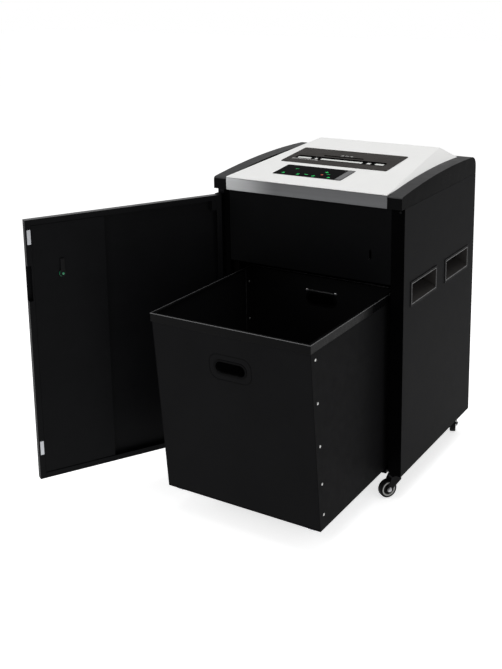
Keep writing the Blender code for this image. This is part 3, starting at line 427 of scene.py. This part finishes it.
def rounded(x0, y0, x1, y1, radius, steps):
    """A rectangle's outline with round corners."""
    corners = [
        ((x1 - radius, y1 - radius), 0),
        ((x0 + radius, y1 - radius), 90),
        ((x0 + radius, y0 + radius), 180),
        ((x1 - radius, y0 + radius), 270),
    ]
    points = []
    for centre, start in corners:
        points += arc(centre, radius, start, start + 90, steps)
    return points


def centred(half_x, half_y, radius, steps=10):
    return rounded(-half_x, -half_y, half_x, half_y, radius, steps)


def circle(radius, sides, centre=(0, 0)):
    return arc(centre, radius, 0, 360 * (sides - 1) / sides, sides - 1)


def plate(bm, rings, thickness, matrix):
    """A flat outline with holes, drawn in XY, thick along Z and put in place by a matrix."""
    curve = bpy.data.curves.new("outline", "CURVE")
    curve.dimensions = "2D"
    curve.fill_mode = "BOTH"
    curve.extrude = thickness / 2
    for ring in rings:
        spline = curve.splines.new("POLY")
        spline.points.add(len(ring) - 1)
        for point, (x, y) in zip(spline.points, ring):
            point.co = (x, y, 0, 1)
        spline.use_cyclic_u = True
    drawn = bpy.data.objects.new("outline", curve)
    bpy.context.scene.collection.objects.link(drawn)
    graph = bpy.context.evaluated_depsgraph_get()
    mesh = bpy.data.meshes.new_from_object(drawn.evaluated_get(graph))
    bpy.data.objects.remove(drawn)
    before = set(bm.verts)
    bm.from_mesh(mesh)
    bpy.data.meshes.remove(mesh)
    made = [vert for vert in bm.verts if vert not in before]
    bmesh.ops.remove_doubles(bm, verts=made, dist=1e-6)
    made = [vert for vert in bm.verts if vert not in before]
    bmesh.ops.transform(bm, matrix=matrix, verts=made)


def facing(place, outward):
    """A frame at a place on an upright face, with Z pointing outward and Y upward."""
    z = Vector(outward).normalized()
    x = Vector((0, 0, 1)).cross(z).normalized()
    turn = Matrix((x, z.cross(x), z)).transposed().to_4x4()
    return Matrix.Translation(place) @ turn


PLATE_LOW, PLATE_HIGH = (Vector(corner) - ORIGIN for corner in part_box("entry_plate"))
PANEL_LOW, PANEL_HIGH = (Vector(corner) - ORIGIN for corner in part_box("control_panel"))
DECK_SLOPE = math.atan2(PLATE_HIGH.z - PLATE_LOW.z - PLATE_THICK, PLATE_HIGH.y - PLATE_LOW.y)
ON_PLATE = PLATE_THICK - PANEL_THICK + PRINT_LIFT


def deck_frame(x, y, lift):
    """A frame on the sloping deck: X to the right, Y up the slope, lifted off the panel's top."""
    rise = math.tan(DECK_SLOPE) * (y - PANEL_LOW.y)
    z = PANEL_LOW.z + PANEL_THICK + rise + lift
    return Matrix.Translation(at(x, y, z)) @ Matrix.Rotation(DECK_SLOPE, 4, "X")


# CAD nodes


def dress_nodes():
    """Gives every CAD node its material and soft edges."""
    coats = {
        POWDER: ("side_panel_left", "side_panel_right", "back_panel"),
        INNER_POWDER: ("front_skirt", "base_pan"),
        DOOR_COAT: (
            "door_shell",
            "door_stiffener",
            "hinge_bracket_upper",
            "hinge_bracket_lower",
            "hinge_block_upper",
            "hinge_block_lower",
        ),
        BIN_COAT: ("bin_wrap", "bin_front", "bin_back"),
        CAP_PLASTIC: ("end_cap_left", "end_cap_right", "rear_bar"),
        BRUSHED: ("front_strip",),
        PLATE_PLASTIC: ("entry_plate",),
        GLOSS_BLACK: ("control_panel",),
        STEEL: (
            "chassis_plate",
            "cutter_shaft_front",
            "cutter_shaft_rear",
            "cutter_gear_front",
            "cutter_gear_rear",
            "drive_gear",
            "reduction_gear",
            "motor_pinion",
        ),
        ZINC: (
            "strike_upper",
            "strike_lower",
            "slide_rail_left",
            "slide_rail_right",
            "slide_middle_left",
            "slide_middle_right",
            "bin_runner_left",
            "bin_runner_right",
        ),
        CAST: ("motor", "cutter_plate_left", "cutter_plate_right"),
        BLACK_PLASTIC: ("power_inlet", "rocker_switch", "lock_cam", "throat_guide"),
        POST_COAT: ("magnet_catch_upper", "magnet_catch_lower"),
        GREEN: ("lock_body",),
    }
    for material, nodes in coats.items():
        for node in nodes:
            dress(node, material)
    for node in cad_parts:
        if node.startswith("handle_cup"):
            dress(node, GRIP_BLACK, 0.0007, 3)
        if node.startswith("caster_fork"):
            dress(node, BLACK_PLASTIC, 0.0005)
        if node.startswith("caster_wheel"):
            dress(node, TYRE)
    dress("bin_rim", RIM_COAT, 0.0011, 3)
    dress("top_cover", WHITE_PLASTIC, 0.0012, 3, 8.0)
    repaint_faces()


def repaint(node, material, chosen):
    """Gives the faces that chosen(corners, normal) picks, in the row frame, a second material."""
    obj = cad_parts[node]
    obj.data.materials.append(material)
    turn = obj.matrix_world.to_3x3()
    for face in obj.data.polygons:
        corners = [obj.matrix_world @ obj.data.vertices[i].co for i in face.vertices]
        if chosen(corners, (turn @ face.normal).normalized()):
            face.material_index = len(obj.data.materials) - 1


def repaint_faces():
    """Faces that differ from the rest of their node: posts, upper surfaces painted lighter as painted
    top light, edges with a painted highlight, and the cups' insides.
    """
    post_end = ORIGIN.y + POST_RETURN
    for side in ("left", "right"):
        node = "side_panel_" + side
        repaint(node, POST_COAT, lambda corners, _: max(c.y for c in corners) < post_end)
        # Painted top light: the upward faces of the end caps and the rear bar are made lighter, as if
        # lit from above.
        repaint("end_cap_" + side, CAP_TOP_PAINTED_LIGHT, lambda _, normal: normal.z > UPWARD)
    repaint("rear_bar", CAP_TOP_PAINTED_LIGHT, lambda _, normal: normal.z > UPWARD)
    # Painted highlight along the door's top edge: its top faces get the lighter edge coat.
    door_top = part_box("door_shell")[1][2] - 0.0002
    repaint("door_shell", EDGE_HIGHLIGHT, lambda corners, _: min(c.z for c in corners) > door_top)
    # Painted highlight along the front edge of the bin back's flange, in the lighter edge coat.
    flange_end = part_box("bin_back")[0][1] + 0.0003
    repaint("bin_back", EDGE_HIGHLIGHT, lambda corners, _: max(c.y for c in corners) < flange_end)
    low_x, high_x = ORIGIN.x + 0.0004, ORIGIN.x + WIDTH - 0.0004
    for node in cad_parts:
        if node.startswith("handle_cup"):
            repaint(
                node,
                CUP_INNER,
                lambda corners, _: any(low_x < c.x < high_x for c in corners)
                and abs(corners[0].x - corners[1].x) + abs(corners[1].x - corners[2].x) > 0.001,
            )


# Bin details


def rim_bead():
    """A fine folded bead along the outer top edge of the bin's rim, in the lighter edge coat: a
    painted highlight along the fold.
    """
    low, high = (Vector(corner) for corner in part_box("bin_rim"))
    out, width = 0.0003, 0.0016
    outer = [(low.x - out, low.y - out), (high.x + out, low.y - out)]
    outer += [(high.x + out, high.y + out), (low.x - out, high.y + out)]
    inner = [(low.x + width, low.y + width), (high.x - width, low.y + width)]
    inner += [(high.x - width, high.y - width), (low.x + width, high.y - width)]
    bm = bmesh.new()
    plate(bm, [outer, inner], 0.0014, Matrix.Translation((0, 0, high.z - 0.0004)))
    finish_mesh("rim_bead", bm, EDGE_HIGHLIGHT, "bin", 0.0005, 3)


def bin_front_point(across, drop):
    """A place on the outside of the raked front wall, some way below its top edge."""
    low, high = (Vector(corner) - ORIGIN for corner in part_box("bin_front"))
    y = low.y + BIN_RAKE * drop / BIN_WALL_TOP
    return at(low.x + across, y, BIN_WALL_TOP - drop)


def rivet(bm, place, outward, radius=0.0036, height=0.0013):
    """A domed rivet head with a shallow flange."""
    profile = [(0, height), (radius * 0.45, height * 0.93), (radius * 0.80, height * 0.62)]
    profile += [(radius * 0.97, height * 0.25), (radius, 0), (radius, -0.0002)]
    lathe(bm, profile, facing(place, outward), 20)


def bin_rivets():
    """Rivets through the flanges at the four corners, with a head outside and a tail inside."""
    wall = BIN_SHEET + SHEET_GAP + BIN_SHEET
    low, high = (Vector(corner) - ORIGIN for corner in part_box("bin_wrap"))
    for side, outside, inside, outward in (
        ("left", low.x, low.x + wall, Vector((-1, 0, 0))),
        ("right", high.x, high.x - wall, Vector((1, 0, 0))),
    ):
        bm = bmesh.new()
        for drop in RIVET_DROPS:
            z = BIN_WALL_TOP - drop
            front = low.y + BIN_RAKE * drop / BIN_WALL_TOP + RIVET_INSET
            for y in (front, high.y - RIVET_INSET):
                rivet(bm, at(outside, y, z), outward)
                rivet(bm, at(inside, y, z), -outward, 0.0034, 0.0012)
        finish_mesh(f"bin_rivets_{side}", bm, RIVET, "bin")


def hand_hole_trim():
    """Moulded grip ring in each hand hole, with a pressed border round it."""
    half_x, half_z = HAND_HOLE_HALF
    inner = centred(half_x - 0.0020, half_z - 0.0020, 0.0149)
    outer = centred(half_x + 0.0035, half_z + 0.0035, 0.0200)
    sleeve = centred(half_x - 0.0004, half_z - 0.0004, 0.0165)
    border = [centred(0.0610, 0.0350, 0.0260), centred(0.0585, 0.0325, 0.0235)]
    for node, drop in HAND_HOLE_DROPS.items():
        low, high = (Vector(corner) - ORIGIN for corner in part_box(node))
        if node == "bin_front":
            place = bin_front_point((high.x - low.x) / 2, drop)
            lean = math.atan2(BIN_RAKE, BIN_WALL_TOP)
            outward = (0, -math.cos(lean), -math.sin(lean))
        else:
            place = at((low.x + high.x) / 2, high.y, BIN_WALL_TOP - drop)
            outward = (0, 1, 0)
        turn = facing(place, outward)
        bm = bmesh.new()
        plate(bm, [outer, inner], 0.0012, turn @ Matrix.Translation((0, 0, 0.0007)))
        plate(bm, [sleeve, inner], 0.0040, turn @ Matrix.Translation((0, 0, -0.0018)))
        plate(bm, [outer, inner], 0.0012, turn @ Matrix.Translation((0, 0, -0.0020)))
        finish_mesh(node + "_grip", bm, GRIP_BLACK, "bin", 0.0004)
        bm = bmesh.new()
        plate(bm, border, 0.0008, turn @ Matrix.Translation((0, 0, 0.0003)))
        finish_mesh(node + "_border", bm, GRIP_BLACK, "bin", 0.0003)


def grip_strip():
    """Metal strip over the back hand hole, inside the bin, held by two screws."""
    low, high = (Vector(corner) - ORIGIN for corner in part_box("bin_back"))
    inside = high.y - BIN_SHEET
    middle = (low.x + high.x) / 2
    z = BIN_WALL_TOP - HAND_HOLE_DROPS["bin_back"] + GRIP_STRIP_RISE
    bm = bmesh.new()
    box(bm, at(middle - 0.040, inside - 0.0030, z - 0.0015), at(middle + 0.040, inside, z + 0.0015))
    for sign in (-1, 1):
        screw(bm, at(middle + sign * 0.044, inside - 0.0004, z - 0.001), (0, -1, 0), 0.0042)
    finish_mesh("grip_strip", bm, STEEL, "bin", 0.0006)


# Cabinet details


def cup_lips():
    """A thin raised line round the mouth of each side handle, in the lighter edge coat: a painted
    highlight round the mouth.
    """
    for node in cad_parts:
        if not node.startswith("handle_cup"):
            continue
        low, high = (Vector(corner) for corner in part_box(node))
        left = "_left_" in node
        face = low.x + 0.0002 if left else high.x - 0.0002
        place = Vector((face, (low.y + high.y) / 2, (low.z + high.z) / 2))
        turn = facing(place, (-1 if left else 1, 0, 0))
        half_y = (high.y - low.y) / 2 - CUP_FLANGE_Y
        half_z = (high.z - low.z) / 2 - CUP_FLANGE_Z
        outer = centred(half_y, half_z, 0.0020, 3)
        inner = centred(half_y - CUP_LIP, half_z - CUP_LIP, 0.0010, 3)
        bm = bmesh.new()
        plate(bm, [outer, inner], 0.0005, turn)
        finish_mesh(node + "_lip", bm, EDGE_HIGHLIGHT, "cabinet", 0.0002)


# Head details


def slot_painted_shade():
    """A thin black lip round the inside of each slot: painted shade, a dark sheet standing for the
    shadow on the slots' walls.
    """
    bm = bmesh.new()
    for x0, y0, x1, y1 in (PAPER_SLOT, DISC_SLOT):
        length = (y1 - y0) / math.cos(DECK_SLOPE)
        insets = ((0.0001, min(0.0058, length / 2.2)), (0.0007, min(0.0052, length / 3.2)))
        rings = [rounded(x0 + gap, gap, x1 - gap, length - gap, radius, 4) for gap, radius in insets]
        plate(bm, rings, 0.0080, deck_frame(0, y0, -0.0030))
    finish_mesh("slot_painted_shade", bm, POST_COAT, "cabinet")


def throat_blocks(spans, y, lift, low, high):
    """A block over each span of x, between two (y, z) corners about a place on the deck."""
    bm = bmesh.new()
    for start, end in spans:
        half = (end - start) / 2
        box(bm, (-half, *low), (half, *high), deck_frame((start + end) / 2, y, lift))
    return bm


def throat_details():
    """White liner along the paper slot, in lengths between black guide posts."""
    _, y0, _, y1 = PAPER_SLOT
    bm = throat_blocks(LINER_SPANS, y0 + 0.0100, -0.0016, (-0.0090, -0.0010), (0.0085, 0.0010))
    finish_mesh("throat_liner", bm, GUIDE_WHITE, "cabinet", 0.0006)
    bm = throat_blocks(POST_SPANS, (y0 + y1) / 2, -0.0040, (-0.0128, -0.0090), (0.0128, 0.0030))
    finish_mesh("throat_posts", bm, POST_COAT, "cabinet", 0.0008)


def width_scale():
    """Printed ticks on the plate, along the left end of the paper slot's front edge."""
    bm = bmesh.new()
    flat = PRINT_THICK / 2
    for step in range(TICK_COUNT):
        turn = deck_frame(TICK_START + step * TICK_PITCH, TICK_Y, ON_PLATE)
        half = 0.0022 if step % 5 else 0.0030
        box(bm, (-0.0013, -half, -flat), (0.0013, half, flat), turn)
    finish_mesh("width_scale", bm, PRINT_WHITE, "cabinet")


def icon_bars(bm, turn, shape):
    """A small plain symbol: ring, bar, sheet, arrow or dots."""
    thick = PRINT_THICK
    if shape == "ring":
        plate(bm, [circle(0.0034, 24), circle(0.0023, 24)], thick, turn)
        box(bm, (-0.0005, -0.0004, -thick / 2), (0.0005, 0.0046, thick / 2), turn)
    if shape == "bar":
        box(bm, (-0.0048, -0.0008, -thick / 2), (0.0048, 0.0008, thick / 2), turn)
    if shape == "sheet":
        outer = rounded(-0.0030, -0.0040, 0.0030, 0.0040, 0.0006, 2)
        inner = rounded(-0.0021, -0.0031, 0.0021, 0.0031, 0.0003, 2)
        plate(bm, [outer, inner], thick, turn)
        box(bm, (-0.0012, -0.0004, -thick / 2), (0.0012, 0.0004, thick / 2), turn)
    if shape == "arrow":
        plate(bm, [[(0.0042, 0), (-0.0010, 0.0036), (-0.0010, -0.0036)]], thick, turn)
        box(bm, (-0.0042, -0.0009, -thick / 2), (-0.0009, 0.0009, thick / 2), turn)
    if shape == "dots":
        for x in (-0.0032, 0.0, 0.0032):
            plate(bm, [circle(0.0010, 16, (x, 0))], thick, turn)


def panel_icons():
    """Generic lit symbols on the touch panel, and the grey end beside them."""
    bm = bmesh.new()
    grow = Matrix.Scale(PANEL_SYMBOL_SCALE, 4)
    for x, y, shape in PANEL_SYMBOLS:
        icon_bars(bm, deck_frame(x, y, PRINT_LIFT) @ grow, shape)
    finish_mesh("panel_leds", bm, LED_GREEN, "cabinet")
    bm = bmesh.new()
    icon_bars(bm, deck_frame(*WARNING_PLACE, PRINT_LIFT), "arrow")
    finish_mesh("panel_warning_led", bm, LED_ORANGE, "cabinet")
    x0, x1 = PANEL_HIGH.x - PANEL_END_WIDTH, PANEL_HIGH.x - 0.0006
    length = (PANEL_HIGH.y - PANEL_LOW.y) / math.cos(DECK_SLOPE)
    bm = bmesh.new()
    turn = deck_frame(0, PANEL_LOW.y, 0.00022)
    plate(bm, [rounded(x0, 0.0008, x1, length - 0.0008, 0.002, 4)], 0.0004, turn)
    finish_mesh("panel_end", bm, GREY_PLASTIC, "cabinet")


def plate_icons():
    """Three small printed symbols by the disc slot: a sheet, a card and a disc."""
    sheet, card, disc = (deck_frame(x, PLATE_SYMBOLS_Y, ON_PLATE) for x in (0.252, 0.266, 0.280))
    bm = bmesh.new()
    icon_bars(bm, sheet, "sheet")
    plate(
        bm,
        [centred(0.0042, 0.0026, 0.0006, 2), centred(0.0034, 0.0018, 0.0004, 2)],
        PRINT_THICK,
        card,
    )
    for outside, inside, sides in ((0.0038, 0.0030, 24), (0.0011, 0.0006, 16)):
        plate(bm, [circle(outside, sides), circle(inside, sides)], PRINT_THICK, disc)
    finish_mesh("plate_symbols", bm, PRINT_WHITE, "cabinet")


# Screws


def screw(bm, place, outward, radius=0.0038):
    """A pan-head screw with a cross recess."""
    turn = facing(place, outward)
    height = 0.0012
    profile = [(0, height * 0.55), (radius * 0.30, height * 0.60), (radius * 0.34, height)]
    profile += [(radius * 0.75, height * 0.85), (radius, height * 0.25), (radius, -0.0003)]
    lathe(bm, profile, turn, 20)
    for angle in (0, math.pi / 2):
        spin = turn @ Matrix.Rotation(angle, 4, "Z")
        arm = radius * 0.5
        box(bm, (-arm, -0.0003, height * 0.80), (arm, 0.0003, height * 0.96), spin)


def cabinet_screws():
    """Screws round the back panel, and one at the top of the right post."""
    bm = bmesh.new()
    places = [(x, z) for x in (BACK_SCREW_INSET, WIDTH - BACK_SCREW_INSET) for z in BACK_SCREW_HEIGHTS]
    places += [(x, PANEL_TOP - 0.012) for x in BACK_SCREW_TOP_ROW]
    for x, z in places:
        screw(bm, at(x, DEPTH + BACK_PROUD - 0.0010, z), (0, 1, 0))
    finish_mesh("back_screws", bm, ZINC, "cabinet")
    bm = bmesh.new()
    screw(bm, at(WIDTH - 0.012, -0.0002, PANEL_TOP - 0.010), (0, -1, 0), 0.0030)
    finish_mesh("post_screws", bm, BLACK_PLASTIC, "cabinet")


# Casters


def caster_wheel(place, turn):
    """Tyre, spoked hub and grey ring, standing for the plain CAD wheel."""
    half = WHEEL_WIDTH / 2
    body = "wheel_" + place
    bm = bmesh.new()
    shoulder = (WHEEL_RADIUS - TREAD_RADIUS, half - TREAD_RADIUS)
    tread = [(0.0195, half - 0.0008)] + arc(shoulder, TREAD_RADIUS, 80, 0, 5)
    lathe(bm, closed_profile(tread), turn, 48)
    tyre = finish_mesh(f"tyre_{place}", bm, TYRE, body, smooth=50)
    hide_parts("caster_wheel_" + place)
    bm = bmesh.new()
    hub = [(0.0043, half - 0.0004), (0.0072, half - 0.0004)]
    hub += [(0.0078, half - 0.0026), (0.0148, half - 0.0030)]
    lathe(bm, closed_profile(hub), turn, 40)
    for spoke in range(6):
        spin = turn @ Matrix.Rotation(spoke * math.pi / 3, 4, "Z")
        for face in (0.0024 - half, half - 0.0024):
            box(bm, (0.0075, -0.0010, face - 0.0012), (0.0148, 0.0010, face + 0.0012), spin)
    finish_mesh(f"hub_{place}", bm, BLACK_PLASTIC, body, smooth=30)
    bm = bmesh.new()
    ring = [(0.0149, half - 0.0034), (0.0158, half - 0.0010), (0.0193, half - 0.0010)]
    lathe(bm, closed_profile(ring), turn, 48)
    finish_mesh(f"hub_ring_{place}", bm, HUB_GREY, body, smooth=30)


def caster_details(place, x, y, yaw):
    """The wheel of a caster, its axle bolt and nut on the fork, and the ball race above."""
    swivel = Matrix.Translation(at(x, y, 0)) @ Matrix.Rotation(math.radians(yaw), 4, "Z")
    axle = swivel @ Matrix.Translation((0, -CASTER_TRAIL, WHEEL_RADIUS - ORIGIN.z))
    caster_wheel(place, axle @ Matrix.Rotation(math.radians(90), 4, "Y"))
    bm = bmesh.new()
    for sign in (-1, 1):
        end = axle @ Matrix.Translation((sign * FORK_OUTSIDE, 0, 0))
        end = end @ Matrix.Rotation(sign * math.radians(90), 4, "Y")
        plate(bm, [circle(0.0052, 6)], 0.0028, end @ Matrix.Translation((0, 0, 0.0009)))
        lathe(bm, [(0, 0.0034), (0.0018, 0.0031), (0.0030, 0.0024), (0.0030, 0.0)], end, 20)
        lathe(bm, [(0.0066, 0.0), (0.0066, -0.0006), (0.0036, -0.0006)], end, 24)
    finish_mesh(f"axle_bolt_{place}", bm, STEEL, "swivel_" + place, 0.0002)
    bm = bmesh.new()
    race = [(0.0138, -0.0046), (0.0146, -0.0056), (0.0146, -0.0074), (0.0138, -0.0084)]
    lathe(bm, race + race[:1], swivel, 32)
    finish_mesh(f"ball_race_{place}", bm, STEEL, "swivel_" + place)


# Studio


def studio():
    """A pale floor and three square lights that look at the object."""
    bpy.ops.mesh.primitive_plane_add(size=30, location=(0, 0, -0.0005))
    floor = bpy.context.object
    floor.name = "studio_floor"
    paper = surface("floor_white", (0.90, 0.90, 0.90), 0.7, specular=0.1, mottle=0.003)
    shader = paper.node_tree.nodes["Principled BSDF"]
    shader.inputs["Emission Color"].default_value = (1, 1, 1, 1)
    shader.inputs["Emission Strength"].default_value = FLOOR_GLOW
    floor.data.materials.append(paper)
    studio_world()
    for name, place, size, power in LIGHTS:
        light = bpy.data.lights.new(name, "AREA")
        light.shape = "SQUARE"
        light.size = size
        light.energy = power
        lamp = bpy.data.objects.new(name, light)
        lamp.location = place
        aim = Vector((0, 0, 0.4)) - Vector(place)
        lamp.rotation_euler = aim.to_track_quat("-Z", "Y").to_euler()
        bpy.context.scene.collection.objects.link(lamp)


def studio_world():
    """White behind everything, but dimmer as a light, so that dark paint stays dark."""
    world = bpy.data.worlds.new("studio_world")
    world.use_nodes = True
    tree = world.node_tree
    dim = tree.nodes["Background"]
    dim.inputs["Color"].default_value = (1, 1, 1, 1)
    dim.inputs["Strength"].default_value = WORLD_LIGHT
    white = tree.nodes.new("ShaderNodeBackground")
    white.inputs["Color"].default_value = (1, 1, 1, 1)
    seen = tree.nodes.new("ShaderNodeLightPath")
    mix = tree.nodes.new("ShaderNodeMixShader")
    tree.links.new(seen.outputs["Is Camera Ray"], mix.inputs["Fac"])
    tree.links.new(dim.outputs["Background"], mix.inputs[1])
    tree.links.new(white.outputs["Background"], mix.inputs[2])
    tree.links.new(mix.outputs["Shader"], tree.nodes["World Output"].inputs["Surface"])
    bpy.context.scene.world = world


def camera():
    """The camera, aimed by its azimuth and pitch and then rolled."""
    data = bpy.data.cameras.new("camera")
    data.sensor_width = 36
    data.lens = CAMERA_LENS
    data.shift_y = CAMERA_SHIFT
    eye = bpy.data.objects.new("camera", data)
    eye.location = at(*CAMERA_PLACE)
    level = math.cos(CAMERA_PITCH)
    back = Vector(
        (
            math.sin(CAMERA_AZIMUTH) * level,
            -math.cos(CAMERA_AZIMUTH) * level,
            math.sin(CAMERA_PITCH),
        )
    )
    aim = (-back).to_track_quat("-Z", "Y") @ Quaternion((0, 0, 1), CAMERA_ROLL)
    eye.rotation_euler = aim.to_euler()
    bpy.context.scene.collection.objects.link(eye)
    bpy.context.scene.camera = eye


camera()
studio()
dress_nodes()
bin_rivets()
rim_bead()
hand_hole_trim()
grip_strip()
cup_lips()
slot_painted_shade()
throat_details()
width_scale()
panel_icons()
plate_icons()
cabinet_screws()
for caster_place, (caster_x, caster_y, caster_yaw) in CASTERS.items():
    caster_details(caster_place, caster_x, caster_y, caster_yaw)
bpy.context.scene.view_settings.view_transform = "Standard"
